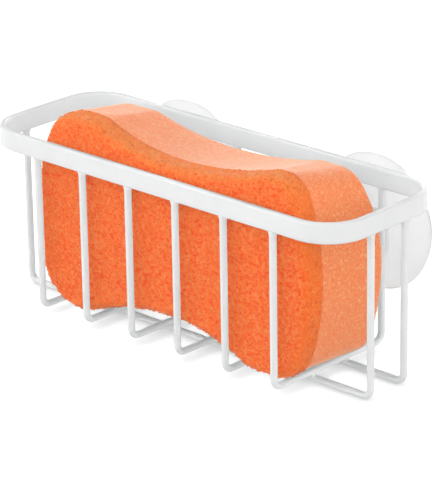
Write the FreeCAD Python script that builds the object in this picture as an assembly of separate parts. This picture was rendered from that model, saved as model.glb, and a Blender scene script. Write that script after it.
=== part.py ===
"""Wire sponge basket with a flat band rim, two suction cups and a two-layer sponge.

Lengths are millimetres. X runs along the basket, +Y points at the wall, +Z is up. The origin
lies on the floor, under the middle of the whole part's outline.
"""
import FreeCAD
import Part
import math
import os

V = FreeCAD.Vector
UP = V(0, 0, 1)

# Rim: one flat bar bent to a rounded rectangle
length = 146.0
depth = 51.0
height = 58.7
band_height = 6.5
band_thickness = 2.2
band_corner = 13.6
band_edge = 0.85

# Cage: round wires bent to a U and welded under the rim
wire = 2.2
wire_bend = 2.8
cross_count = 6
cross_margin = 23.925
long_spacing = 15.2
rim_weld = 0.45
cross_weld = 0.25

# Stamped tabs that carry the suction cups, welded behind the outer pairs of uprights
tab_thickness = 1.2
tab_height = 15.0
tab_corner = 3.5
tab_weld = 0.25
cup_drop = 21.7

# Suction cups: one moulding each, with a neck and a head pushed through the tab
cup_diameter = 43.5
cup_standoff = 8.8
cup_hollow = 3.9
lip_width = 1.2
lip_thickness = 1.1
dome_bulge = 0.7
boss_diameter = 13.0
boss_height = 0.9
neck_diameter = 5.8
head_diameter = 9.0
head_length = 4.2
neck_clearance = 0.05
seat_gap = 0.3

# Sponge: an hourglass outline, a scrubbing layer in front and foam behind
sponge_height = 63.5
left_room = 19.2
right_room = 11.65
front_gap = 1.7
rest_gap = 0.05
top_left_lobe = 11.6
top_left_flat = 6.0
top_left_bulge = 4.0
top_right_lobe = 8.8
top_right_flat = 2.0
top_right_bulge = 4.2
low_left_lobe = 15.5
low_left_flat = 0.6
low_left_bulge = 0.5
low_right_lobe = 9.7
low_right_flat = 8.0
low_right_bulge = 3.8
top_waist = 6.8
low_waist = 8.0
scrub_thickness = 7.2
scrub_edge = 2.5
film_thickness = 0.4
foam_thickness = 25.5
foam_edge = 2.4
back_drop = 5.2
back_waist = 5.2
back_growth = 2.1
back_lobe = 10.5
back_left_flat = 10.0
back_left_bulge = 1.6
back_right_flat = 6.4
back_right_bulge = 5.5

# Places that follow from the sizes above
basket_y = -cup_standoff / 2
lip_y = basket_y + depth / 2 + cup_standoff
rim_low = height - band_height
wire_y = (depth - band_thickness) / 2
wire_x = (length - band_thickness) / 2
long_z = wire / 2
cross_z = long_z + wire - cross_weld
cross_pitch = (length - 2 * cross_margin) / (cross_count - 1)
first_cross = cross_margin - length / 2
cup_x = (cross_count - 2) / 2 * cross_pitch
cup_z = height - cup_drop
tab_front = basket_y + wire_y + wire / 2 - tab_weld
tab_back = tab_front + tab_thickness
sponge_length = length - 2 * band_thickness - left_room - right_room
sponge_shift = (left_room - right_room) / 2
scrub_y = basket_y - wire_y + wire / 2 + front_gap
film_y = scrub_y + scrub_thickness
foam_y = film_y + film_thickness
sponge_z = cross_z + wire / 2 + rest_gap + sponge_height / 2


def rounded_face(width, tall, radius, right, up):
    """Flat face with rounded corners, centred on the origin."""
    def at(u, v):
        return right * u + up * v
    mid = radius * math.sqrt(0.5)
    edges = []
    corners = [(1, 1), (-1, 1), (-1, -1), (1, -1)]
    for i, (a, b) in enumerate(corners):
        cu = a * (width / 2 - radius)
        cv = b * (tall / 2 - radius)
        ends = [at(cu + a * radius, cv), at(cu, cv + b * radius)]
        if a * b < 0:
            ends.reverse()
        if edges:
            edges.append(Part.makeLine(edges[-1].valueAt(edges[-1].LastParameter), ends[0]))
        edges.append(Part.Arc(ends[0], at(cu + a * mid, cv + b * mid), ends[1]).toShape())
    start = edges[0].valueAt(edges[0].FirstParameter)
    edges.append(Part.makeLine(edges[-1].valueAt(edges[-1].LastParameter), start))
    return Part.Face(Part.Wire(edges))


def rim_band():
    """Flat bar on edge, bent to a closed rounded rectangle, with its four long edges eased."""
    outer = rounded_face(length, depth, band_corner, V(1, 0, 0), V(0, 1, 0))
    inner = rounded_face(length - 2 * band_thickness, depth - 2 * band_thickness,
                         band_corner - band_thickness, V(1, 0, 0), V(0, 1, 0))
    bar = outer.cut(inner).extrude(UP * band_height)
    rims = [e for e in bar.Edges if e.BoundBox.ZLength < band_height / 2]
    bar = bar.makeFillet(min(band_edge, 0.45 * band_thickness), rims)
    return bar.translated(V(0, basket_y, rim_low))


def bent_wire(along, centre, half_span, low):
    """Round wire bent to a U, with its upright ends reaching into the rim's weld."""
    def at(u, z):
        return centre + along * u + UP * z
    top = rim_low + rim_weld
    inside = half_span - wire_bend
    cut = wire_bend * (1 - math.sqrt(0.5))
    lift = low + wire_bend
    path = [
        Part.makeLine(at(-half_span, top), at(-half_span, lift)),
        Part.Arc(at(-half_span, lift), at(cut - half_span, low + cut), at(-inside, low)).toShape(),
        Part.makeLine(at(-inside, low), at(inside, low)),
        Part.Arc(at(inside, low), at(half_span - cut, low + cut), at(half_span, lift)).toShape(),
        Part.makeLine(at(half_span, lift), at(half_span, top)),
    ]
    section = Part.Wire(Part.makeCircle(wire / 2, at(-half_span, top), UP))
    return Part.Wire(path).makePipeShell([section], True, False)


def cup_tab(x, uprights):
    """Stamped tab with a round hole for the cup's neck, saddled on two uprights."""
    blank = rounded_face(cross_pitch + wire, tab_height, tab_corner, V(1, 0, 0), UP)
    tab = blank.extrude(V(0, tab_thickness, 0)).translated(V(x, tab_front, cup_z))
    hole = Part.makeCylinder(neck_diameter / 2 + neck_clearance, tab_thickness,
                             V(x, tab_front, cup_z), V(0, 1, 0))
    return tab.cut([hole] + uprights)


def suction_cup(x):
    """Moulded cup turned about its own axis: head, neck, boss, dome and flat lip."""
    def at(r, y):
        return V(r, y, 0)

    def bowed(p, q, bulge):
        """Arc from p to q that bows out sideways by the given height."""
        chord = q - p
        side = V(chord.y, -chord.x, 0).normalize()
        return Part.Arc(p, (p + q) * 0.5 + side * bulge, q).toShape()

    def cap(rim, apex):
        """Half section of a spherical cap, from a point on its rim to its apex on the axis."""
        rise = rim.y - apex.y
        radius = (rim.x ** 2 + rise ** 2) / (2 * rise)
        half = math.atan2(rim.x, radius - rise) / 2
        middle = at(radius * math.sin(half), apex.y + radius * (1 - math.cos(half)))
        return Part.Arc(rim, middle, apex).toShape()

    head_y = tab_front - seat_gap
    boss_y = tab_back + seat_gap
    edge = cup_diameter / 2
    nose = at(0, head_y - head_length)
    flat = at(head_diameter / 2, head_y)
    neck_top = at(neck_diameter / 2, head_y)
    neck_low = at(neck_diameter / 2, boss_y)
    boss_top = at(boss_diameter / 2, boss_y)
    boss_low = at(boss_diameter / 2, boss_y + boss_height)
    lip_back = at(edge, lip_y - lip_thickness)
    lip_out = at(edge - lip_thickness / 2, lip_y)
    lip_in = at(edge - lip_width - lip_thickness / 2, lip_y)
    apex = at(0, lip_y - cup_hollow)
    profile = [
        cap(flat, nose),
        Part.makeLine(flat, neck_top),
        Part.makeLine(neck_top, neck_low),
        Part.makeLine(neck_low, boss_top),
        Part.makeLine(boss_top, boss_low),
        bowed(boss_low, lip_back, dome_bulge),
        Part.makeLine(lip_back, lip_out),
        Part.makeLine(lip_out, lip_in),
        cap(lip_in, apex),
        Part.makeLine(apex, nose),
    ]
    turned = Part.Face(Part.Wire(profile)).revolve(V(0, 0, 0), V(0, 1, 0), 360)
    return turned.translated(V(x, 0, cup_z))


def arc_on(centre, radius, start, end, y):
    """Arc about a centre in the XZ plane at depth y, between two angles."""
    def at(a):
        return V(centre[0] + radius * math.cos(a), y, centre[1] + radius * math.sin(a))
    return Part.Arc(at(start), at((start + end) / 2), at(end)).toShape()


def quarter_outline(y, half_length, lobe, waist, radius, flat, bulge):
    """Right upper quarter of the hourglass: end, lobe with a flat and waist, all tangent."""
    lobe_x = half_length - radius - bulge
    lobe_z = lobe - radius
    inner_x = lobe_x - flat
    step = radius - waist
    waist_radius = (inner_x ** 2 + step ** 2 - radius ** 2) / (2 * waist)
    reach = radius + bulge
    end_radius = (lobe_z ** 2 + reach ** 2 - radius ** 2) / (2 * bulge)
    end_x = half_length - end_radius
    waist_z = lobe - waist + waist_radius
    end_angle = math.atan2(lobe_z, lobe_x - end_x)
    waist_angle = math.atan2(waist_z - lobe_z, -inner_x)
    return [
        arc_on((end_x, 0), end_radius, 0, end_angle, y),
        arc_on((lobe_x, lobe_z), radius, end_angle, math.pi / 2, y),
        Part.makeLine(V(lobe_x, y, lobe), V(inner_x, y, lobe)),
        arc_on((inner_x, lobe_z), radius, math.pi / 2, waist_angle, y),
        arc_on((0, waist_z), waist_radius, waist_angle - math.pi, -math.pi / 2, y),
    ]


def sponge_section(y, growth, drop, waist, left, right):
    """Closed hourglass outline at depth y; left and right give an upper lobe's radius, flat and bulge."""
    half_length = sponge_length / 2 + growth
    low = sponge_height / 2
    top = low - drop
    quarters = [
        (1, 1, top, waist, right),
        (-1, 1, top, waist, left),
        (1, -1, low, low_waist, (low_right_lobe, low_right_flat, low_right_bulge)),
        (-1, -1, low, low_waist, (low_left_lobe, low_left_flat, low_left_bulge)),
    ]
    arcs = []
    for across, over, lobe, dip, (radius, flat, bulge) in quarters:
        for a in quarter_outline(y, half_length, lobe, dip, radius, flat, bulge):
            if across < 0:
                a = a.mirror(V(0, 0, 0), V(1, 0, 0))
            if over < 0:
                a = a.mirror(V(0, 0, 0), UP)
            arcs.append(a)
    loop = Part.Wire(Part.__sortEdges__(arcs))
    return loop.translated(V(sponge_shift, 0, sponge_z))


def front_section(y):
    """Outline of both layers where they meet, at depth y."""
    left = (top_left_lobe, top_left_flat, top_left_bulge)
    right = (top_right_lobe, top_right_flat, top_right_bulge)
    return sponge_section(y, 0, 0, top_waist, left, right)


def sponge_layer(y, thickness):
    """Straight slice of the sponge's front outline."""
    return Part.Face(front_section(y)).extrude(V(0, thickness, 0))


def eased(solid, y, radius):
    """Solid with the edges that lie in the plane at depth y rounded off."""
    edges = [e for e in solid.Edges if max(abs(e.BoundBox.YMin - y), abs(e.BoundBox.YMax - y)) < 0.01]
    return solid.makeFillet(radius, edges)


def sponge_foam():
    """Foam block whose crown falls towards its rounded back."""
    back_y = foam_y + foam_thickness
    left = (back_lobe, back_left_flat, back_left_bulge)
    right = (back_lobe, back_right_flat, back_right_bulge)
    sections = [front_section(foam_y),
                sponge_section(back_y, back_growth, back_drop, back_waist, left, right)]
    return eased(Part.makeLoft(sections, True, True), back_y, foam_edge)


rim = rim_band()
crosses = []
for i in range(cross_count):
    u = bent_wire(V(0, 1, 0), V(first_cross + i * cross_pitch, basket_y, 0), wire_y, cross_z)
    crosses.append(u.cut(rim))

nodes = {"rim_band": rim}
for i, u in enumerate(crosses):
    nodes["cross_wire_%d" % (i + 1)] = u
for name, side in (("long_wire_front", -1), ("long_wire_rear", 1)):
    u = bent_wire(V(1, 0, 0), V(0, basket_y + side * long_spacing / 2, 0), wire_x, long_z)
    nodes[name] = u.cut([rim] + crosses)
nodes["cup_tab_left"] = cup_tab(-cup_x, crosses[:2])
nodes["cup_tab_right"] = cup_tab(cup_x, crosses[-2:])
nodes["suction_cup_left"] = suction_cup(-cup_x)
nodes["suction_cup_right"] = suction_cup(cup_x)
nodes["sponge_scrub_pad"] = eased(sponge_layer(scrub_y, scrub_thickness), scrub_y, scrub_edge)
nodes["sponge_bond_film"] = sponge_layer(film_y, film_thickness)
nodes["sponge_foam"] = sponge_foam()

os.makedirs("parts", exist_ok=True)
for name, shape in nodes.items():
    solids = shape.Solids
    print(name, "solids", len(solids), "valid", shape.isValid(), "volume", round(shape.Volume, 2))
    (solids[0] if len(solids) == 1 else shape).exportStep("parts/%s.step" % name)
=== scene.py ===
"""Looks of a white wire sponge basket with two frosted suction cups and a two-layer sponge.

Lengths in the size fields are millimetres, meshes are metres. X runs along the basket, +Y points
at the wall and +Z is up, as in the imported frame. In a finish, a span holds the two values between
which an effect grows, and a relief its depth and its strength.
"""
import logging
import math
from dataclasses import astuple, dataclass, field
from enum import Enum
from typing import Any, Optional, Sequence, Union

import bmesh
import bpy
import numpy as np
from bpy.types import ColorRamp, Material, Mesh, NodeSocket, NodeTree, Object
from mathutils import Matrix, Vector


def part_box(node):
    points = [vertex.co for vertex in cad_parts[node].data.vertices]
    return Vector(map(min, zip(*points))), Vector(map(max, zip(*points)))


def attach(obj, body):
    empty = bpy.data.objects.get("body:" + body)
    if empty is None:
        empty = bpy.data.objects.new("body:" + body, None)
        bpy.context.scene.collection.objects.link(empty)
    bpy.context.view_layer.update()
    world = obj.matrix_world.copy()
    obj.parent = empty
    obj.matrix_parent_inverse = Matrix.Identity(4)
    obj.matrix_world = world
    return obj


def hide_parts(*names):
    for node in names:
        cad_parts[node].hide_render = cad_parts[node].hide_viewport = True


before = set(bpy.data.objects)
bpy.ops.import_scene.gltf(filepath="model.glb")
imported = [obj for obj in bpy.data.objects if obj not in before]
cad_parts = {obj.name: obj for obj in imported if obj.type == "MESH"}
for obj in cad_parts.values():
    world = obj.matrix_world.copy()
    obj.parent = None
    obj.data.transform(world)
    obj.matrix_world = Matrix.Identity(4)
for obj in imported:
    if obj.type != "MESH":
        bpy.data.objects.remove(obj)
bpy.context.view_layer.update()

MM = 0.001
NUMBER = "NodeSocketFloat"
ARC_POINTS = 120

Span = tuple[float, float]
Triple = tuple[float, float, float]
Rgb = Triple
log = logging.getLogger("sponge_basket")


class Body(str, Enum):
    """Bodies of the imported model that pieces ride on."""

    BASKET = "basket"
    SPONGE = "sponge"
    LEFT_CUP = "left_cup"
    RIGHT_CUP = "right_cup"


class Slot(str, Enum):
    """Material slots of the record, listed beside the sponge's pieces."""

    STEEL = "coated_steel"
    SCRUB = "scrub_fibre"
    FILM = "bond_film"
    FOAM = "foam"


class Joint(Enum):
    """Kinds of welded joint that the coat runs into."""

    RIM = 0
    CROSSING = 1


class Signal:
    """One output socket of a node, on which arithmetic adds Math nodes."""

    def __init__(self, board: "Board", socket: NodeSocket) -> None:
        """Keeps the socket and the board that it belongs to."""
        self.board = board
        self.socket = socket

    def other(self, name: str) -> "Signal":
        """Another output of the same node, by its name."""
        return Signal(self.board, self.socket.node.outputs[name])

    def _math(self, operation: str, first: "Term", second: "Term") -> "Signal":
        """Adds a Math node with its operation and its two values."""
        return self.board.node("ShaderNodeMath", {"operation": operation}, {0: first, 1: second})

    def __add__(self, other: "Term") -> "Signal":
        """Sum with a value or a signal."""
        return self._math("ADD", self, other)

    __radd__ = __add__

    def __sub__(self, other: "Term") -> "Signal":
        """Difference from a value or a signal."""
        return self._math("SUBTRACT", self, other)

    def __rsub__(self, other: "Term") -> "Signal":
        """Difference with a value in front."""
        return self._math("SUBTRACT", other, self)

    def __mul__(self, other: "Term") -> "Signal":
        """Product with a value or a signal."""
        return self._math("MULTIPLY", self, other)

    __rmul__ = __mul__

    def __truediv__(self, other: "Term") -> "Signal":
        """Quotient by a value or a signal."""
        return self._math("DIVIDE", self, other)

    def __rtruediv__(self, other: "Term") -> "Signal":
        """Quotient with a value in front."""
        return self._math("DIVIDE", other, self)

    def __pow__(self, other: "Term") -> "Signal":
        """Power of the signal."""
        return self._math("POWER", self, other)

    def highest(self, other: "Term") -> "Signal":
        """The larger of two values at each point."""
        return self._math("MAXIMUM", self, other)

    def between(self, low: float, high: float) -> "Signal":
        """Value that runs from low where the signal is 0 to high where it is 1."""
        return low + (high - low) * self


Term = Union[Signal, float]


class Board:
    """A node tree under construction."""

    def __init__(self, tree: NodeTree) -> None:
        """Keeps the tree that nodes are added to."""
        self.tree = tree

    def node(self, kind: str, settings: Optional[dict[str, Any]] = None,
             inputs: Optional[dict[Union[str, int], Any]] = None,
             output: Union[str, int, None] = 0) -> Optional[Signal]:
        """Adds any node.

        Args:
            kind: The node's type.
            settings: Its properties, set first; stops gives a ramp's positions and colours.
            inputs: Values or signals for its sockets, by name or number; a list joins several.
            output: The socket that is returned, None for a node without any.

        Returns:
            The chosen output.
        """
        made = self.tree.nodes.new(kind)
        for name, value in (settings or {}).items():
            if name == "stops":
                self._set_stops(made.color_ramp, value)
            else:
                setattr(made, name, value)
        for key, value in (inputs or {}).items():
            several = isinstance(value, list) and isinstance(value[0], Signal)
            for item in value if several else [value]:
                if isinstance(item, Signal):
                    self.tree.links.new(item.socket, made.inputs[key])
                else:
                    made.inputs[key].default_value = item
        return None if output is None else Signal(self, made.outputs[output])

    @staticmethod
    def _set_stops(ramp: ColorRamp, stops: Sequence[tuple[float, Rgb]]) -> None:
        """Replaces a ramp's stops.

        Args:
            ramp: The colour ramp.
            stops: Positions with their colours, in rising order.
        """
        while len(ramp.elements) > 1:
            ramp.elements.remove(ramp.elements[-1])
        for i, (position, colour) in enumerate(stops):
            stop = ramp.elements[0] if i == 0 else ramp.elements.new(position)
            stop.position = position
            stop.color = (*colour, 1.0)


class Finish(Board):
    """A material under construction, ending in one Principled surface."""

    def __init__(self, name: str) -> None:
        """Makes the material and its coordinates.

        Args:
            name: Name of the material.
        """
        self.material = bpy.data.materials.new(name)
        self.material.use_nodes = True
        self.material.node_tree.nodes.clear()
        super().__init__(self.material.node_tree)
        self.place = self.node("ShaderNodeTexCoord", output="Object")

    def noise(self, size: float, detail: float = 2.0, stretch: Optional[Triple] = None,
              turn: float = 0.0, shift: float = 0.0) -> Signal:
        """Soft random value from 0 to 1 over the surface.

        Args:
            size: Size of its patches in millimetres.
            detail: Number of finer layers.
            stretch: Scale along each axis, where the patches are longer one way.
            turn: Turn of the stretched pattern about Y, in degrees.
            shift: Offset that makes this pattern differ from its neighbours.

        Returns:
            The noise value.
        """
        place = self.place
        if stretch:
            place = self.node("ShaderNodeMapping", None, {
                "Vector": place, "Rotation": (0.0, math.radians(turn), 0.0), "Scale": stretch})
        return self.node("ShaderNodeTexNoise", {"noise_dimensions": "4D"}, {
            "Vector": place, "W": shift, "Scale": 1 / (size * MM), "Detail": detail})

    def cells(self, size: float) -> Signal:
        """Distance to the middle of the nearest random cell, by the cells' size in millimetres."""
        return self.node("ShaderNodeTexVoronoi", {"feature": "F1"},
                         {"Vector": self.place, "Scale": 1 / (size * MM)}, "Distance")

    def attribute(self, name: str) -> Signal:
        """Value of a mesh attribute, by its name."""
        return self.node("ShaderNodeAttribute", {"attribute_name": name}, None, "Fac")

    def band(self, value: Signal, low: float, high: float) -> Signal:
        """Stretches the range from low to high to 0 to 1 and cuts off what lies outside."""
        return self.node("ShaderNodeMapRange", {"clamp": True},
                         {"Value": value, "From Min": low, "From Max": high})

    def mix(self, share: Term, first: Union[Signal, Rgb], second: Union[Signal, Rgb]) -> Signal:
        """Blends two colours, by the share of the second one."""
        ends = [c if isinstance(c, Signal) else (*c, 1.0) for c in (first, second)]
        return self.node("ShaderNodeMix", {"data_type": "RGBA"},
                         {0: share, 6: ends[0], 7: ends[1]}, 2)

    def bump(self, height: Signal, depth: float, strength: float) -> Signal:
        """Normal of a relief, from its height, its depth in millimetres and its strength."""
        return self.node("ShaderNodeBump", None,
                         {"Strength": strength, "Distance": depth * MM, "Height": height})

    def surface(self, inputs: dict[str, Any]) -> Material:
        """Ends the material in a Principled surface.

        Args:
            inputs: Values or signals of its sockets.

        Returns:
            The finished material.
        """
        shader = self.node("ShaderNodeBsdfPrincipled", None, inputs)
        self.node("ShaderNodeOutputMaterial", None, {"Surface": shader}, None)
        return self.material


class Shaper(Board):
    """A Geometry Nodes tree with named inputs that ends in Realize Instances and Set Material."""

    def __init__(self, name: str, inputs: dict[str, str]) -> None:
        """Makes the tree and its sockets.

        Args:
            name: Name of the tree.
            inputs: Named inputs with their socket types.
        """
        super().__init__(bpy.data.node_groups.new(name, "GeometryNodeTree"))
        face = self.tree.interface
        named = {"Geometry": "NodeSocketGeometry", **inputs, "Material": "NodeSocketMaterial"}
        for label, kind in named.items():
            face.new_socket(label, in_out="INPUT", socket_type=kind)
        face.new_socket("Geometry", in_out="OUTPUT", socket_type="NodeSocketGeometry")
        self.source = self.tree.nodes.new("NodeGroupInput")

    def given(self, label: str) -> Signal:
        """One of the tree's named inputs."""
        return Signal(self, self.source.outputs[label])

    def named(self, name: str) -> Signal:
        """A mesh attribute that is read as a number, by its name."""
        return self.node("GeometryNodeInputNamedAttribute", {"data_type": "FLOAT"}, {"Name": name})

    def chance(self, low: Term, high: Term, seed: Term) -> Signal:
        """Random number for each point between two values, by a seed."""
        return self.node("FunctionNodeRandomValue", {"data_type": "FLOAT"},
                         {2: low, 3: high, "Seed": seed}, 1)

    def vector(self, x: Term = 0.0, y: Term = 0.0, z: Term = 0.0) -> Signal:
        """Vector from three numbers."""
        return self.node("ShaderNodeCombineXYZ", None, {"X": x, "Y": y, "Z": z})

    def turned(self, x: Term = 0.0, y: Term = 0.0, z: Term = 0.0) -> Signal:
        """Rotation from three angles in radians."""
        return self.node("FunctionNodeEulerToRotation", None, {"Euler": self.vector(x, y, z)})

    def close(self, geometry: Signal) -> None:
        """Ends the tree in Realize Instances and Set Material.

        Args:
            geometry: What the tree has made.
        """
        plain = self.node("GeometryNodeRealizeInstances", None, {"Geometry": geometry})
        painted = self.node("GeometryNodeSetMaterial", None,
                            {"Geometry": plain, "Material": self.given("Material")})
        self.node("NodeGroupOutput", None, {"Geometry": painted}, None)

    def run(self, piece: Object, values: dict[str, Any]) -> None:
        """Runs the tree on an object and keeps the result as its plain mesh.

        Args:
            piece: The object, already in the scene.
            values: Values of the named inputs.
        """
        modifier = piece.modifiers.new(self.tree.name, "NODES")
        modifier.node_group = self.tree
        for item in self.tree.interface.items_tree:
            if item.in_out == "INPUT" and item.name in values:
                modifier[item.identifier] = values[item.name]
        graph = bpy.context.evaluated_depsgraph_get()
        made = bpy.data.meshes.new_from_object(piece.evaluated_get(graph))
        made.name = piece.name
        piece.modifiers.clear()
        old = piece.data
        piece.data = made
        bpy.data.meshes.remove(old)


@dataclass(frozen=True)
class SatinCoat:
    """White satin coat on steel, with faint orange peel and cloudier patches where it is thin."""

    white: Rgb = (0.79, 0.795, 0.794)
    thin: Rgb = (0.75, 0.755, 0.758)
    thin_span: Span = (0.35, 0.75)
    patch: float = 11.0
    peel: float = 1.5
    relief: Span = (0.035, 0.5)
    roughness: Span = (0.27, 0.39)

    def material(self) -> Material:
        """Builds the coat's material.

        Returns:
            The material.
        """
        f = Finish("satin_white_coat")
        patch = f.noise(self.patch, detail=3.0)
        peel = f.noise(self.peel, detail=1.0, shift=3.0)
        return f.surface({
            "Base Color": f.mix(f.band(patch, *self.thin_span), self.white, self.thin),
            "Roughness": patch.between(*self.roughness),
            "Normal": f.bump(peel, *self.relief),
            "Coat Weight": 0.5,
            "Coat Roughness": 0.12,
        })


@dataclass(frozen=True)
class FrostedVinyl:
    """Soft clear vinyl with a frosted skin, cloudier in places."""

    tint: Rgb = (0.878, 0.88, 0.88)
    cloud: Rgb = (0.843, 0.848, 0.849)
    cloud_span: Span = (0.3, 0.75)
    patch: float = 7.0
    grain: float = 0.8
    grain_share: float = 0.4
    relief: Span = (0.05, 0.4)
    roughness: Span = (0.34, 0.5)

    def material(self) -> Material:
        """Builds the cups' material.

        Returns:
            The material.
        """
        f = Finish("frosted_vinyl")
        patch = f.noise(self.patch, detail=3.0)
        grain = f.noise(self.grain, shift=5.0)
        skin = patch * (1 - self.grain_share) + grain * self.grain_share
        return f.surface({
            "Base Color": f.mix(f.band(patch, *self.cloud_span), self.tint, self.cloud),
            "Roughness": grain.between(*self.roughness),
            "Normal": f.bump(skin, *self.relief),
            "IOR": 1.45,
            "Transmission Weight": 0.70,
            "Subsurface Weight": 0.6,
            "Subsurface Radius": (1.0, 1.0, 1.0),
            "Subsurface Scale": 7.0 * MM,
        })


@dataclass(frozen=True)
class ScrubMat:
    """Orange nonwoven mat: crossing streaks of fibre over darker gaps, which are partly its own
    tone and partly painted shade, and paler with brown dots where it faces up; the paler tone there
    is painted top light.
    """

    # Gap colour: partly the mat's own darker tone and partly painted shade between the fibres.
    gap_tone_and_shade: Rgb = (0.92, 0.062, 0.007)
    body: Rgb = (0.97, 0.18, 0.033)
    bright: Rgb = (0.98, 0.30, 0.095)
    cut: Rgb = (0.97, 0.20, 0.018)
    # Painted top light: colour of the faces that look up, paler than the front.
    crown: Rgb = (0.92, 0.305, 0.086)
    # Colour of brown dots on the faces that look up.
    top_dots: Rgb = (0.66, 0.15, 0.03)
    streak: float = 0.7
    stretch: Triple = (0.45, 1.0, 1.0)
    turns: tuple[float, ...] = (15.0, 60.0, 105.0, 150.0)
    lit_span: Span = (0.485, 0.635)
    fleck: float = 1.2
    bright_span: Span = (0.5, 0.64)
    bright_share: float = 0.65
    cut_share: float = 0.6
    crown_power: float = 1.6
    crown_share: Span = (0.15, 0.85)
    top_dot_size: float = 1.1
    top_dot_span: Span = (0.53, 0.65)
    top_dot_share: float = 0.6
    relief: Span = (0.16, 0.5)
    roughness: Span = (0.78, 0.93)

    def material(self) -> Material:
        """Builds the mat's material.

        Returns:
            The material.
        """
        f = Finish("scrub_mat")
        streaks = None
        for i, turn in enumerate(self.turns):
            line = f.noise(self.streak, 1.0, self.stretch, turn, shift=2.0 * i)
            streaks = line if streaks is None else streaks.highest(line)
        lit = f.band(streaks, *self.lit_span)
        # Partly painted shade: the gaps between the streaks take the darker colour.
        colour = f.mix(lit, self.gap_tone_and_shade, self.body)
        fleck = f.noise(self.fleck, detail=3.0, shift=9.0)
        colour = f.mix(f.band(fleck, *self.bright_span) * self.bright_share, colour, self.bright)
        colour = f.mix(f.attribute("cut") * self.cut_share, colour, self.cut)
        # Painted top light: faces that look up are blended towards the paler top colour, most on
        # the streaks.
        crown = f.attribute("crown")
        painted_top_shading = crown ** self.crown_power * lit.between(*self.crown_share)
        colour = f.mix(painted_top_shading, colour, self.crown)
        # Brown dots, only where the surface faces up.
        top_dots = f.band(f.noise(self.top_dot_size, detail=1.0, shift=13.0), *self.top_dot_span)
        colour = f.mix(crown * top_dots * self.top_dot_share, colour, self.top_dots)
        return f.surface({
            "Base Color": colour,
            "Roughness": fleck.between(*self.roughness),
            "Normal": f.bump(lit, *self.relief),
            "Sheen Weight": 0.4,
            "Sheen Roughness": 0.4,
            "Sheen Tint": (1.0, 0.62, 0.42, 1.0),
            "Specular IOR Level": 0.25,
        })


@dataclass(frozen=True)
class Strand:
    """Single fibres of the mat, each with its own shade, and paler where they face up, which is
    painted top light.
    """

    dark: Rgb = (1.0, 0.10, 0.014)
    middle: Rgb = (1.0, 0.19, 0.038)
    light: Rgb = (1.0, 0.30, 0.09)
    # Painted top light: colour of the fibres that face up.
    crown: Rgb = (0.95, 0.29, 0.08)
    grain: float = 2.5
    grain_share: float = 0.2
    crown_power: float = 1.6
    crown_share: float = 0.6
    roughness: Span = (0.5, 0.75)

    def material(self) -> Material:
        """Builds the fibres' material.

        Returns:
            The material.
        """
        f = Finish("scrub_strand")
        own = f.attribute("tone") * (1 - self.grain_share)
        tone = own + f.noise(self.grain) * self.grain_share
        stops = [(0.0, self.dark), (0.5, self.middle), (1.0, self.light)]
        colour = f.node("ShaderNodeValToRGB", {"stops": stops}, {"Fac": tone})
        # Painted top light where the fibres face up.
        painted_top_shading = f.attribute("crown") ** self.crown_power * self.crown_share
        return f.surface({
            "Base Color": f.mix(painted_top_shading, colour, self.crown),
            "Roughness": tone.between(*self.roughness),
            "Specular IOR Level": 0.2,
        })


@dataclass(frozen=True)
class GlueLine:
    """Thin cured glue between the layers, soaked and dry in patches, with brown spots where it
    faces up, which are painted shade along the top of the seam.
    """

    soaked: Rgb = (0.90, 0.155, 0.022)
    dry: Rgb = (0.98, 0.22, 0.05)
    # Painted shade along the top of the seam.
    top_seam_shade: Rgb = (0.62, 0.16, 0.037)
    patch: float = 1.8
    dry_span: Span = (0.35, 0.65)
    seam_shade_spot: float = 1.1
    seam_shade_span: Span = (0.46, 0.58)
    crown_power: float = 2.0
    relief: Span = (0.12, 0.6)
    roughness: Span = (0.55, 0.85)

    def material(self) -> Material:
        """Builds the glue's material.

        Returns:
            The material.
        """
        f = Finish("glue_line")
        patch = f.noise(self.patch, detail=3.0)
        colour = f.mix(f.band(patch, *self.dry_span), self.soaked, self.dry)
        # Painted shade in spots where the glue faces up.
        spot = f.band(f.noise(self.seam_shade_spot, detail=1.0, shift=6.0), *self.seam_shade_span)
        painted_top_shading = f.attribute("crown") ** self.crown_power * spot
        return f.surface({
            "Base Color": f.mix(painted_top_shading, colour, self.top_seam_shade),
            "Roughness": patch.between(*self.roughness),
            "Normal": f.bump(patch, *self.relief),
        })


@dataclass(frozen=True)
class OpenFoam:
    """Fine open-celled peach foam: small pits with darker floors, which are painted shade, and
    paler walls.
    """

    # Painted shade on the floors of the pits.
    pit_shade: Rgb = (0.94, 0.165, 0.043)
    wall: Rgb = (0.97, 0.28, 0.103)
    pale: Rgb = (0.99, 0.45, 0.215)
    cell: float = 1.3
    cell_span: Span = (0.08, 0.5)
    pore: float = 0.7
    pore_span: Span = (0.1, 0.55)
    pore_share: float = 0.55
    speck: float = 0.8
    speck_span: Span = (0.52, 0.68)
    speck_share: Span = (0.35, 1.0)
    patch: float = 5.0
    relief: Span = (0.14, 0.55)
    roughness: Span = (0.82, 0.94)

    def material(self) -> Material:
        """Builds the foam's material.

        Returns:
            The material.
        """
        f = Finish("open_foam")
        cell = f.band(f.cells(self.cell), *self.cell_span)
        pore = f.band(f.cells(self.pore), *self.pore_span)
        wall = cell * (1 - self.pore_share) + pore * self.pore_share
        # Painted shade: darker towards the middle of each cell.
        colour = f.mix(wall, self.pit_shade, self.wall)
        patch = f.noise(self.patch, detail=3.0, shift=4.0)
        speck = f.band(f.noise(self.speck, detail=1.0, shift=7.0), *self.speck_span)
        return f.surface({
            "Base Color": f.mix(speck * patch.between(*self.speck_share), colour, self.pale),
            "Roughness": patch.between(*self.roughness),
            "Normal": f.bump(wall, *self.relief),
            "Subsurface Weight": 0.15,
            "Subsurface Radius": (1.0, 0.4, 0.2),
            "Subsurface Scale": 1.6 * MM,
            "Sheen Weight": 0.8,
            "Sheen Roughness": 0.38,
            "Sheen Tint": (1.0, 0.86, 0.72, 1.0),
            "Specular IOR Level": 0.2,
        })


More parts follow.
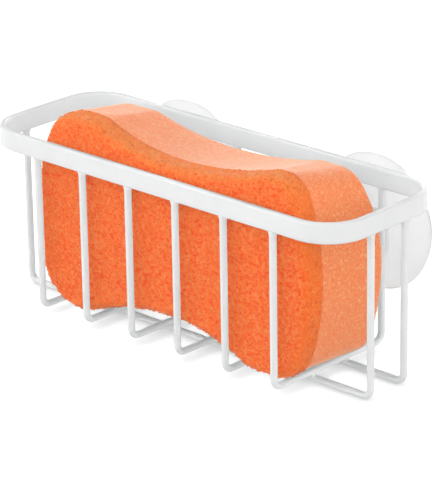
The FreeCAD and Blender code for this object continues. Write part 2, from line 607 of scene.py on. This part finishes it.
@dataclass(frozen=True)
class Paper:
    """Plain pale studio floor, barely mottled, with a painted contact shadow close under what
    stands on it.
    """

    white: Rgb = (0.62, 0.62, 0.62)
    shade: Rgb = (0.61, 0.61, 0.612)
    mottle: float = 60.0
    roughness: Span = (0.85, 0.95)
    glow: float = 0.68
    open_glow: Rgb = (1.0, 1.0, 1.0)
    # Painted contact shadow: the glow's colour close under what stands on the floor.
    contact_shadow_glow: Rgb = (0.45, 0.45, 0.455)
    contact: float = 4.0
    contact_span: Span = (0.55, 0.95)

    def material(self) -> Material:
        """Builds the floor's material.

        Returns:
            The material.
        """
        f = Finish("studio_paper")
        mottle = f.noise(self.mottle)
        # Painted contact shadow: ambient occlusion dims the floor's glow close under what stands on
        # it.
        contact_shade = f.node("ShaderNodeAmbientOcclusion", {"samples": 8},
                      {"Distance": self.contact * MM}, "AO")
        contact_shade = f.band(contact_shade, *self.contact_span)
        return f.surface({
            "Base Color": f.mix(mottle, self.white, self.shade),
            "Roughness": mottle.between(*self.roughness),
            "Specular IOR Level": 0.15,
            "Emission Color": f.mix(contact_shade, self.contact_shadow_glow, self.open_glow),
            "Emission Strength": self.glow,
        })


def new_piece(name: str, mesh: Mesh) -> Object:
    """Adds a mesh to the scene as an object at the origin.

    Args:
        name: Name of the piece.
        mesh: Its mesh.

    Returns:
        The object.
    """
    piece = bpy.data.objects.new(name, mesh)
    bpy.context.scene.collection.objects.link(piece)
    return piece


def paint(piece: Object, material: Material) -> None:
    """Puts one material in all of an object's slots.

    Args:
        piece: The object.
        material: The material.
    """
    if not piece.material_slots:
        piece.data.materials.append(material)
    for slot in piece.material_slots:
        slot.material = material


def report(piece: Object, body: Body) -> None:
    """Logs a piece with its size and the body that it rides on."""
    log.info("%s: %d faces on %s", piece.name, len(piece.data.polygons), body.value)


def set_numbers(mesh: Mesh, name: str, values: np.ndarray) -> None:
    """Stores one number for each vertex of a mesh, as a named attribute."""
    made = mesh.attributes.new(name, "FLOAT", "POINT")
    made.data.foreach_set("value", values.astype(np.float32))


def mark_crown(mesh: Mesh) -> None:
    """Stores on each vertex how far its surface faces up, from 0 to 1.

    Args:
        mesh: The mesh.
    """
    normals = np.empty(3 * len(mesh.vertices), np.float32)
    mesh.vertex_normals.foreach_get("vector", normals)
    set_numbers(mesh, "crown", np.clip(normals[2::3], 0.0, 1.0))


@dataclass(frozen=True)
class Lamp:
    """One distant soft light."""

    name: str
    toward: Triple
    strength: float
    spread: float = 105.0
    shadow: bool = True

    def build(self) -> None:
        """Adds the light to the scene."""
        data = bpy.data.lights.new(self.name, "SUN")
        data.energy = self.strength
        data.angle = math.radians(self.spread)
        data.use_shadow = self.shadow
        data.cycles.use_multiple_importance_sampling = False
        lamp = bpy.data.objects.new(self.name, data)
        lamp.rotation_euler = (-Vector(self.toward)).to_track_quat("-Z", "Y").to_euler()
        bpy.context.scene.collection.objects.link(lamp)


@dataclass
class Studio:
    """Pale floor, soft light and the camera at the photograph's angle."""

    eye: Triple = (0.575757, -0.607063, 0.349180)
    across: Triple = (0.72940541, 0.68390766, -0.01542943)
    sight: Triple = (-0.64223481, 0.67684413, -0.35974501)
    lens: float = 211.24
    sensor: float = 36.0
    floor_radius: float = 4.0
    horizon: float = 0.55
    zenith: float = 0.04
    nadir: float = 0.42
    front_dip: float = 0.20
    dip_power: float = 2.0
    lamps: tuple[Lamp, ...] = (
        Lamp("front_left", (-0.45, -0.89, 0.10), 2.62),
        Lamp("front_fill", (-0.45, -0.89, 0.10), 0.42, shadow=False),
        Lamp("front_right", (0.64, -0.68, 0.3), 0.35, 90.0),
        Lamp("right", (0.97, 0.1, 0.12), 1.95),
        Lamp("right_fill", (0.97, 0.1, -0.05), 0.68, shadow=False),
        Lamp("rear_left", (-0.5, 0.86, 0.02), 2.4),
        Lamp("key", (-0.6, -0.37, 0.72), 0.36, 16.0),
    )

    def build(self) -> None:
        """Makes the camera, the world, the light and the floor."""
        self._camera()
        self._light()
        self._floor()
        bpy.context.scene.view_settings.view_transform = "Standard"

    def _camera(self) -> None:
        """Places the camera by its axes."""
        data = bpy.data.cameras.new("camera")
        data.lens = self.lens
        data.sensor_width = self.sensor
        across = Vector(self.across).normalized()
        sight = Vector(self.sight).normalized()
        axes = Matrix((across, across.cross(sight), -sight)).transposed()
        camera = bpy.data.objects.new("camera", data)
        camera.matrix_world = Matrix.Translation(self.eye) @ axes.to_4x4()
        bpy.context.scene.collection.objects.link(camera)
        bpy.context.scene.camera = camera

    def _light(self) -> None:
        """Makes the white surroundings and the lamps."""
        world = bpy.data.worlds.new("white_room")
        world.use_nodes = True
        world.node_tree.nodes.clear()
        room = Board(world.node_tree)
        ray = room.node("ShaderNodeTexCoord", output="Generated")
        height = room.node("ShaderNodeSeparateXYZ", None, {"Vector": ray}, "Z")
        over = (self.zenith - self.horizon) * height.highest(0.0)
        under = (self.nadir - self.horizon) * (0.0 - height).highest(0.0)
        facing = room.node("ShaderNodeVectorMath", {"operation": "DOT_PRODUCT"},
                           {0: ray, 1: [-v for v in self.sight]}, "Value").highest(0.0)
        glow = (self.horizon + over + under) * (1.0 - self.front_dip * facing ** self.dip_power)
        sky = room.node("ShaderNodeBackground", None, {"Strength": glow})
        room.node("ShaderNodeOutputWorld", None, {"Surface": sky}, None)
        bpy.context.scene.world = world
        for lamp in self.lamps:
            lamp.build()

    def _floor(self) -> None:
        """Makes the floor as a wide disc."""
        mesh = bpy.data.meshes.new("floor")
        disc = bmesh.new()
        bmesh.ops.create_circle(disc, cap_ends=True, segments=64, radius=self.floor_radius)
        disc.to_mesh(mesh)
        disc.free()
        floor = new_piece("floor", mesh)
        paint(floor, Paper().material())
        floor.visible_diffuse = False


@dataclass
class WireBasket:
    """Coated steel basket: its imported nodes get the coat, with runs of it added at the welds."""

    rim: str = "rim_band"
    crosses: tuple[str, ...] = tuple(f"cross_wire_{i}" for i in range(1, 7))
    longs: tuple[str, ...] = ("long_wire_front", "long_wire_rear")
    tabs: tuple[str, ...] = ("cup_tab_left", "cup_tab_right")
    run_height: float = 2.1
    run_depth_in_rim: float = 0.15
    run_flare: float = 0.75
    pool_width: float = 1.32
    pool_height: float = 0.72
    run_fit: float = 1.006
    run_pinch: float = 0.03
    flare_power: float = 3.0
    coat: Material = field(init=False)

    def dress(self) -> None:
        """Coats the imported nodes."""
        self.coat = SatinCoat().material()
        for name in (self.rim, *self.crosses, *self.longs, *self.tabs):
            paint(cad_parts[name], self.coat)
            report(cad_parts[name], Body.BASKET)

    def joints(self) -> list[tuple[Vector, float, Joint]]:
        """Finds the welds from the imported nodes' boxes.

        Returns:
            Place, turn about Z in radians and kind of each weld.
        """
        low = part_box(self.rim)[0].z
        found = []
        boxes = [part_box(name) for name in self.crosses]
        for a, b in boxes:
            x, radius = (a.x + b.x) / 2, (b.x - a.x) / 2
            for y in (a.y + radius, b.y - radius):
                found.append((Vector((x, y, low)), 0.0, Joint.RIM))
        for name in self.longs:
            a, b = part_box(name)
            y, radius = (a.y + b.y) / 2, (b.y - a.y) / 2
            for x in (a.x + radius, b.x - radius):
                found.append((Vector((x, y, low)), math.pi / 2, Joint.RIM))
            for c, d in boxes:
                middle = Vector(((c.x + d.x) / 2, y, (a.z + 2 * radius + c.z) / 2))
                found.append((middle, 0.0, Joint.CROSSING))
        return found

    def build(self) -> None:
        """Adds the coat that has run into the welds."""
        welds = self.joints()
        mesh = bpy.data.meshes.new("weld_coat")
        mesh.from_pydata([w[0] for w in welds], [], [])
        set_numbers(mesh, "turn", np.array([w[1] for w in welds]))
        set_numbers(mesh, "kind", np.array([w[2].value for w in welds], float))
        piece = new_piece("weld_coat", mesh)
        low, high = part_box(self.crosses[0])
        self._runs().run(piece, {
            "Wire Radius": (high.x - low.x) / 2,
            "Run Height": self.run_height * MM,
            "Depth In Rim": self.run_depth_in_rim * MM,
            "Flare": self.run_flare,
            "Pool Width": self.pool_width * MM,
            "Pool Height": self.pool_height * MM,
            "Material": self.coat,
        })
        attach(piece, Body.BASKET.value)
        report(piece, Body.BASKET)

    def _runs(self) -> Shaper:
        """Makes a tree that puts a flared collar at each rim weld and a pool at each crossing.

        Returns:
            The tree.
        """
        labels = ("Wire Radius", "Run Height", "Depth In Rim", "Flare", "Pool Width", "Pool Height")
        t = Shaper("coat_runs", dict.fromkeys(labels, NUMBER))
        height = t.given("Run Height")
        tube = t.node("GeometryNodeMeshCylinder", {"fill_type": "NGON"}, {
            "Vertices": 28, "Side Segments": 9,
            "Radius": t.given("Wire Radius") * self.run_fit, "Depth": height})
        soft = t.node("GeometryNodeSetShadeSmooth", None, {
            "Geometry": tube, "Selection": tube.other("Side")})
        place = t.node("GeometryNodeInputPosition")
        parts = t.node("ShaderNodeSeparateXYZ", None, {"Vector": place})
        rise = parts.other("Z") / height + 0.5
        swell = t.given("Flare") * rise ** self.flare_power
        pinch = rise * -self.run_pinch
        lift = t.given("Depth In Rim") - height * 0.5
        collar = t.node("GeometryNodeSetPosition", None, {
            "Geometry": soft,
            "Offset": t.vector(parts.other("X") * swell, parts.other("Y") * pinch, lift)})
        ball = t.node("GeometryNodeMeshIcoSphere", None, {"Radius": 1.0, "Subdivisions": 3})
        ball = t.node("GeometryNodeSetShadeSmooth", None, {"Geometry": ball})
        wide = t.given("Pool Width")
        flat = t.vector(wide, wide, t.given("Pool Height"))
        pool = t.node("GeometryNodeTransform", None, {"Geometry": ball, "Scale": flat})
        kinds = t.node("GeometryNodeGeometryToInstance", None, {"Geometry": [pool, collar]})
        put = t.node("GeometryNodeInstanceOnPoints", None, {
            "Points": t.given("Geometry"), "Instance": kinds, "Pick Instance": True,
            "Instance Index": t.named("kind"), "Rotation": t.turned(z=t.named("turn"))})
        t.close(put)
        return t


@dataclass
class SuctionCups:
    """Two frosted cups, each on its own body."""

    nodes: tuple[tuple[str, Body], ...] = (("suction_cup_left", Body.LEFT_CUP),
                                           ("suction_cup_right", Body.RIGHT_CUP))

    def dress(self) -> None:
        """Gives both cups the frosted vinyl."""
        vinyl = FrostedVinyl().material()
        for name, body in self.nodes:
            paint(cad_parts[name], vinyl)
            report(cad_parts[name], body)


def arc(centre: Span, radius: float, start: float, end: float) -> np.ndarray:
    """Points along an arc about a centre, between two angles in radians."""
    angles = np.linspace(start, end, ARC_POINTS)
    return np.stack([centre[0] + radius * np.cos(angles), centre[1] + radius * np.sin(angles)], 1)


def spaced(points: np.ndarray, count: int) -> np.ndarray:
    """Evenly spaced points along a line.

    Args:
        points: Points of the line.
        count: Number of steps.

    Returns:
        The steps' ends, one more than count.
    """
    steps = np.linalg.norm(np.diff(points, axis=0), axis=1)
    run = np.concatenate([[0.0], np.cumsum(steps)])
    marks = np.linspace(0.0, run[-1], count + 1)
    return np.stack([np.interp(marks, run, points[:, i]) for i in range(2)], 1)


@dataclass(frozen=True)
class Lobe:
    """Rounding of one of the sponge's corners: its radius, its flat and the bulge of its end."""

    radius: float
    flat: float
    bulge: float

    def toward(self, other: "Lobe", share: float) -> "Lobe":
        """Lobe at a share of the way to another one."""
        return Lobe(*(a + share * (b - a) for a, b in zip(astuple(self), astuple(other))))


@dataclass
class Corner:
    """Quarter of the sponge's outline: an end, a lobe with a flat and half a waist, all tangent."""

    half_length: float
    height: float
    waist: float
    lobe: Lobe

    def arcs(self) -> tuple[np.ndarray, np.ndarray]:
        """Arcs of the right upper quarter about the outline's middle.

        Returns:
            The end up to the lobe's shoulder, and the crown from the shoulder to the waist.
        """
        r, bulge = self.lobe.radius, self.lobe.bulge
        lobe_x = self.half_length - r - bulge
        lobe_z = self.height - r
        inner_x = lobe_x - self.lobe.flat
        waist_radius = (inner_x ** 2 + (r - self.waist) ** 2 - r ** 2) / (2 * self.waist)
        end_radius = (lobe_z ** 2 + (r + bulge) ** 2 - r ** 2) / (2 * bulge)
        end_x = self.half_length - end_radius
        waist_z = self.height - self.waist + waist_radius
        end_angle = math.atan2(lobe_z, lobe_x - end_x)
        waist_angle = math.atan2(waist_z - lobe_z, -inner_x)
        shoulder = (end_angle + math.pi / 2) / 2
        end = np.vstack([arc((end_x, 0.0), end_radius, 0.0, end_angle),
                         arc((lobe_x, lobe_z), r, end_angle, shoulder)])
        crown = np.vstack([arc((lobe_x, lobe_z), r, shoulder, math.pi / 2),
                           arc((inner_x, lobe_z), r, math.pi / 2, waist_angle),
                           arc((0.0, waist_z), waist_radius, waist_angle - math.pi, -math.pi / 2)])
        return end, crown


@dataclass
class Outline:
    """Hourglass outline of the sponge at one depth, from its four corners."""

    top_right: Corner
    top_left: Corner
    low_right: Corner
    low_left: Corner

    def loop(self, across: int, up: int) -> np.ndarray:
        """Closed loop of points, from the lower left shoulder to the right and round.

        Args:
            across: Steps along the bottom and along the top.
            up: Steps along each end.

        Returns:
            An array of points in the XZ plane.
        """
        right_end, right_crown = self.top_right.arcs()
        left_end, left_crown = (p * (-1, 1) for p in self.top_left.arcs())
        low_right_end, low_right_crown = (p * (1, -1) for p in self.low_right.arcs())
        low_left_end, low_left_crown = (p * (-1, -1) for p in self.low_left.arcs())
        sides = ((low_left_crown, low_right_crown[::-1], across),
                 (low_right_end[::-1], right_end, up),
                 (right_crown, left_crown[::-1], across),
                 (left_end[::-1], low_left_end, up))
        return np.vstack([spaced(np.vstack([a, b]), steps)[:-1] for a, b, steps in sides])


def inset(loop: np.ndarray, distance: Union[float, np.ndarray]) -> np.ndarray:
    """Moves a closed loop inwards.

    Args:
        loop: Its points, anticlockwise.
        distance: How far, for all points or for each.

    Returns:
        The moved points.
    """
    along = np.roll(loop, -1, 0) - np.roll(loop, 1, 0)
    along /= np.linalg.norm(along, axis=1)[:, None]
    outward = np.stack([along[:, 1], -along[:, 0]], 1)
    return loop - np.reshape(distance, (-1, 1)) * outward


@dataclass(frozen=True)
class Relief:
    """Roughness of a block's skin: soft lumps and a finer grain."""

    lump_size: float
    lump_depth: float
    grain_size: float
    grain_depth: float
    seed: float

    def values(self, material: Material) -> dict[str, Any]:
        """Inputs of the tree that roughens a block, with the block's material."""
        return {"Lump Size": self.lump_size * MM, "Lump Depth": self.lump_depth * MM,
                "Grain Size": self.grain_size * MM, "Grain Depth": self.grain_depth * MM,
                "Seed": self.seed, "Material": material}


@dataclass(frozen=True)
class Fuzz:
    """Loose fibres: their number on a square metre, their sizes and their shapes.

    A shape is its bow sideways in lengths and the rise of its middle and its tip in lifts.
    """

    density: float = 1.05e6
    length: float = 1.4
    radius: float = 0.10
    lift: float = 0.20
    fray: float = 0.7
    tilt: float = 0.06
    sizes: Span = (0.55, 1.25)
    shapes: tuple[Triple, ...] = ((0.25, 2.0, -0.4), (-0.4, 2.4, -0.5), (0.5, 1.2, 0.9),
                                  (-0.15, 1.0, 1.2), (0.7, 2.2, -0.2))
    seed: int = 11

    def values(self, material: Material) -> dict[str, Any]:
        """Inputs of the tree that scatters the fibres, with their material."""
        return {"Density": self.density, "Length": self.length * MM, "Radius": self.radius * MM,
                "Lift": self.lift * MM, "Fray": self.fray, "Seed": self.seed,
                "Material": material}


@dataclass
class HourglassSponge:
    """Two-layer sponge: scrubbing mat, glue line and foam, with loose fibres on the mat.

    Depths run along Y. Towards its back the foam is lower and longer, with lobes of its own.
    """

    centre_x: float = 3.775
    centre_z: float = 35.95
    half_length: float = 55.375
    left_reach: float = 1.3
    half_height: float = 31.75
    top_waist: float = 6.8
    low_waist: float = 8.0
    right_drop: float = 0.6
    top_left: Lobe = Lobe(11.6, 6.0, 4.7)
    top_right: Lobe = Lobe(8.8, 2.0, 4.2)
    low_left: Lobe = Lobe(15.5, 0.6, 0.5)
    low_right: Lobe = Lobe(9.7, 8.0, 3.8)
    front: float = -26.0
    mat_back: float = -18.8
    foam_front: float = -18.4
    back: float = 7.1
    back_drop: float = 4.9
    back_waist: float = 4.6
    back_growth: float = 2.1
    back_left: Lobe = Lobe(10.5, 10.0, 1.6)
    back_right: Lobe = Lobe(10.5, 6.4, 5.5)
    mat_edge: float = 2.5
    foam_edge: float = 2.4
    seam_edge: float = 0.08
    glue_inset: float = -0.03
    glue_rise: float = 0.22
    mat_relief: Relief = Relief(5.0, 0.22, 1.15, 0.24, 1.0)
    foam_relief: Relief = Relief(8.0, 0.20, 1.3, 0.12, 2.0)
    edge_skin: float = 0.8
    fuzz: Fuzz = Fuzz()
    across: int = 190
    up: int = 96
    edge_steps: int = 6
    mat_steps: int = 12
    foam_steps: int = 40

    def outline(self, share: float) -> Outline:
        """Shapes the outline at one depth.

        Args:
            share: Share of the foam's depth, 0 in front and 1 at the back.

        Returns:
            The outline.
        """
        length = self.half_length + share * self.back_growth
        left = length + (1 - share) * self.left_reach
        top = self.half_height - share * self.back_drop
        waist = self.top_waist + share * (self.back_waist - self.top_waist)
        drop = self.right_drop
        right_lobe = self.top_right.toward(self.back_right, share)
        left_lobe = self.top_left.toward(self.back_left, share)
        return Outline(Corner(length, top - drop, waist - drop, right_lobe),
                       Corner(left, top, waist, left_lobe),
                       Corner(length, self.half_height, self.low_waist, self.low_right),
                       Corner(left, self.half_height, self.low_waist, self.low_left))

    def placed(self, loop: np.ndarray, y: float) -> np.ndarray:
        """Puts an outline at depth y in the basket, in metres."""
        return MM * np.stack([loop[:, 0] + self.centre_x, np.full(len(loop), y),
                              loop[:, 1] + self.centre_z], 1)

    def face(self, rim: np.ndarray) -> np.ndarray:
        """Points inside a closed rim, blended from its four sides.

        Args:
            rim: The rim's loop of points.

        Returns:
            The inner points, row by row from the bottom.
        """
        a, u = self.across, self.up
        closed = np.vstack([rim, rim[:1]])
        low, right = closed[:a + 1], closed[a:a + u + 1]
        top, left = closed[a + u:2 * a + u + 1][::-1], closed[2 * a + u:][::-1]
        s = np.linspace(0, 1, a + 1)[None, 1:-1, None]
        t = np.linspace(0, 1, u + 1)[1:-1, None, None]
        sides = (1 - t) * low[None, 1:-1] + t * top[None, 1:-1]
        sides = sides + (1 - s) * left[1:-1, None] + s * right[1:-1, None]
        corners = (1 - t) * ((1 - s) * low[0] + s * low[-1]) + t * ((1 - s) * top[0] + s * top[-1])
        return (sides - corners).reshape(-1, 3)

    def solid(self, name: str, loops: list[np.ndarray], skin: Sequence[float] = (),
              cut: Sequence[float] = ()) -> Object:
        """Closed block from stacked loops, with a fine face inside the first loop.

        Args:
            name: Name of the piece.
            loops: Loops of points from the open face to the glued face.
            skin: How far each loop may be roughened, from 0 to 1, none for a smooth block.
            cut: Share of cut side at each loop, from 0 to 1, none where no finish reads it.

        Returns:
            The new object.
        """
        a, u = self.across, self.up
        n = 2 * (a + u)
        inner = self.face(loops[0])
        start = n * len(loops)

        def at(i: int, j: int) -> int:
            """Finds a point of the fine face.

            Args:
                i: Its column.
                j: Its row.

            Returns:
                Its number in the mesh.
            """
            if j == 0 or i == a:
                return i + j
            if j == u or i == 0:
                return (2 * a + 2 * u - i - j) % n
            return start + (j - 1) * (a - 1) + i - 1

        faces = [(at(i, j), at(i + 1, j), at(i + 1, j + 1), at(i, j + 1))
                 for j in range(u) for i in range(a)]
        for k in range(len(loops) - 1):
            for i in range(n):
                m = (i + 1) % n
                faces.append((k * n + i, k * n + n + i, k * n + n + m, k * n + m))
        faces.append(tuple(range(start - n, start)))
        mesh = bpy.data.meshes.new(name)
        mesh.from_pydata(np.vstack(loops + [inner]).tolist(), [], faces)
        for label, shares, inside in (("skin", skin, 1.0), ("cut", cut, 0.0)):
            if shares:
                middle = np.full(len(inner), inside)
                set_numbers(mesh, label, np.concatenate([np.repeat(shares, n), middle]))
        block = bmesh.new()
        block.from_mesh(mesh)
        bmesh.ops.recalc_face_normals(block, faces=block.faces)
        bmesh.ops.triangulate(block, faces=[f for f in block.faces if len(f.verts) > 4])
        block.to_mesh(mesh)
        block.free()
        mesh.shade_smooth()
        return new_piece(name, mesh)

    def rough(self) -> Shaper:
        """Makes a tree that roughens a block's skin with soft lumps and a finer grain.

        Returns:
            The tree.
        """
        labels = ("Lump Size", "Lump Depth", "Grain Size", "Grain Depth", "Seed")
        t = Shaper("soft_skin", dict.fromkeys(labels, NUMBER))
        relief = None
        for label in ("Lump", "Grain"):
            wave = t.node("ShaderNodeTexNoise", {"noise_dimensions": "4D"}, {
                "W": t.given("Seed"), "Scale": 1.0 / t.given(label + " Size"), "Detail": 2.0})
            part = (wave - 0.5) * 2.0 * t.given(label + " Depth")
            relief = part if relief is None else relief + part
        push = t.node("ShaderNodeVectorMath", {"operation": "SCALE"}, {
            0: t.node("GeometryNodeInputNormal"), "Scale": relief * t.named("skin")})
        t.close(t.node("GeometryNodeSetPosition", None, {
            "Geometry": t.given("Geometry"), "Offset": push}))
        return t

    def loose(self) -> Shaper:
        """Makes a tree that scatters short curled fibres over the mat's skin.

        Returns:
            The tree.
        """
        fuzz = self.fuzz
        labels = ("Density", "Length", "Radius", "Lift", "Fray")
        t = Shaper("loose_fibres", {**dict.fromkeys(labels, NUMBER), "Seed": "NodeSocketInt"})
        seed, length, lift = t.given("Seed"), t.given("Length"), t.given("Lift")
        density = t.given("Density") * t.named("skin")
        spots = t.node("GeometryNodeDistributePointsOnFaces", {"distribute_method": "RANDOM"}, {
            "Mesh": t.given("Geometry"), "Density": density, "Seed": seed})
        ring = t.node("GeometryNodeCurvePrimitiveCircle", None, {
            "Resolution": 3, "Radius": t.given("Radius")})
        kinds = []
        for bow, arch, tip in fuzz.shapes:
            line = t.node("GeometryNodeCurveQuadraticBezier", None, {
                "Resolution": 3,
                "Start": t.vector(length * -0.5, 0.0, lift * -0.5),
                "Middle": t.vector(0.0, length * bow, lift * arch),
                "End": t.vector(length * 0.5, 0.0, lift * tip)})
            tube = t.node("GeometryNodeCurveToMesh", None, {
                "Curve": line, "Profile Curve": ring, "Fill Caps": True})
            kinds.append(t.node("GeometryNodeSetShadeSmooth", None, {"Geometry": tube}))
        tilts = [t.chance(-fuzz.tilt, fuzz.tilt, seed + i) for i in (1, 2)]
        spin = t.chance(0.0, 2 * math.pi, seed + 3)
        turn = t.node("FunctionNodeRotateRotation", {"rotation_space": "LOCAL"}, {
            "Rotation": spots.other("Rotation"), "Rotate By": t.turned(*tilts, spin)})
        size = t.chance(*fuzz.sizes, seed + 5)
        put = t.node("GeometryNodeInstanceOnPoints", None, {
            "Points": spots, "Pick Instance": True, "Rotation": turn,
            "Instance": t.node("GeometryNodeGeometryToInstance", None, {"Geometry": kinds}),
            "Instance Index": t.chance(0.0, len(kinds) - 0.01, seed + 4),
            "Scale": t.vector(size, size, size * (1.0 + t.given("Fray") * t.named("cut")))})
        own = {"data_type": "FLOAT", "domain": "INSTANCE"}
        t.close(t.node("GeometryNodeStoreNamedAttribute", own, {
            "Geometry": put, "Name": "tone", "Value": t.chance(0.0, 1.0, seed + 6)}))
        return t

    def mat_loops(self) -> tuple[list[np.ndarray], list[float], list[float]]:
        """Stacks the mat from its front to the glue.

        Returns:
            Its loops, with their skin and cut shares.
        """
        outline = self.outline(0.0).loop(self.across, self.up)
        turns = np.linspace(0.0, math.pi / 2, self.edge_steps)
        loops = [self.placed(inset(outline, self.mat_edge * (1 - math.sin(a))),
                             self.front + self.mat_edge * (1 - math.cos(a))) for a in turns]
        ends = (self.front + self.mat_edge, self.mat_back - self.seam_edge)
        loops += [self.placed(outline, y) for y in np.linspace(*ends, self.mat_steps)[1:]]
        loops.append(self.placed(inset(outline, self.seam_edge), self.mat_back))
        skin = [self.edge_skin] * self.edge_steps + [1.0] * (self.mat_steps - 1) + [0.0]
        return loops, skin, [2 * a / math.pi for a in turns] + [1.0] * self.mat_steps

    def foam_loops(self) -> tuple[list[np.ndarray], list[float]]:
        """Stacks the foam from its back to the glue.

        Returns:
            Its loops, with their skin shares.
        """
        depth = self.back - self.foam_front
        edge = self.foam_edge
        stack = [(self.back - edge * (1 - math.cos(a)), edge * (1 - math.sin(a)))
                 for a in np.linspace(0.0, math.pi / 2, self.edge_steps)]
        ends = (self.back - edge, self.foam_front + self.seam_edge)
        stack += [(y, 0.0) for y in np.linspace(*ends, self.foam_steps)[1:]]
        stack.append((self.foam_front, self.seam_edge))
        loops = []
        for y, pull in stack:
            outline = self.outline((y - self.foam_front) / depth).loop(self.across, self.up)
            loops.append(self.placed(inset(outline, pull), y))
        return loops, [1.0] * (len(loops) - 1) + [0.0]

    def build(self) -> None:
        """Makes the mat, its fibres, the glue line and the foam."""
        rough = self.rough()
        mat = self.solid("scrub_mat", *self.mat_loops())
        mark_crown(mat.data)
        rough.run(mat, self.mat_relief.values(ScrubMat().material()))
        fibres = new_piece("scrub_strands", mat.data.copy())
        self.loose().run(fibres, self.fuzz.values(Strand().material()))
        outline = self.outline(0.0).loop(self.across, self.up)
        ragged = np.random.default_rng(self.fuzz.seed).random(len(outline)) ** 2
        rise = np.clip(inset(outline, -1.0) - outline, 0.0, 1.0)[:, 1]
        edge = inset(outline, self.glue_inset - self.glue_rise * rise * ragged)
        ends = [self.placed(edge, y) for y in (self.mat_back, self.foam_front)]
        glue = self.solid("glue_line", ends)
        mark_crown(glue.data)
        paint(glue, GlueLine().material())
        foam = self.solid("foam_block", *self.foam_loops())
        rough.run(foam, self.foam_relief.values(OpenFoam().material()))
        stands = ((mat, Slot.SCRUB, "sponge_scrub_pad"), (fibres, Slot.SCRUB, None),
                  (glue, Slot.FILM, "sponge_bond_film"), (foam, Slot.FOAM, "sponge_foam"))
        for piece, slot, node in stands:
            piece.visible_diffuse = False
            piece.visible_glossy = False
            piece.visible_shadow = piece is not fibres
            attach(piece, Body.SPONGE.value)
            if node:
                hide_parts(node)
            report(piece, Body.SPONGE)


def main() -> None:
    """Builds the scene and reports each piece."""
    logging.basicConfig(level=logging.INFO, format="%(name)s: %(message)s")
    Studio().build()
    basket = WireBasket()
    basket.dress()
    basket.build()
    SuctionCups().dress()
    HourglassSponge().build()


if __name__ == "__main__":
    main()
